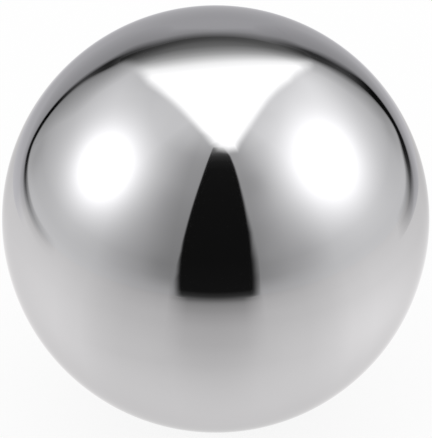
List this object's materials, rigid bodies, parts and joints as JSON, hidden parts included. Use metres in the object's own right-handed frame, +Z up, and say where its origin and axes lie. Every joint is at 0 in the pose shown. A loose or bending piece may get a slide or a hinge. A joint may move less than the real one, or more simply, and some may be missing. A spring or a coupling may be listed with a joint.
{
  "type": "steel ball",
  "caption": "Solid polished steel ball with a mirror finish, for bearings, valves, detents and bench use.",
  "frame": {"origin": "centre of the ball", "axes": "+Z up and -Z down through the lowest point, where the ball meets its seat; the ball is alike about every axis"},
  "size_m": [0.0254, 0.0254, 0.0254],
  "materials": {
    "polished_steel": "polished"
  },
  "bodies": {
    "root": {"ball": "polished_steel"}
  },
  "joints": []
}
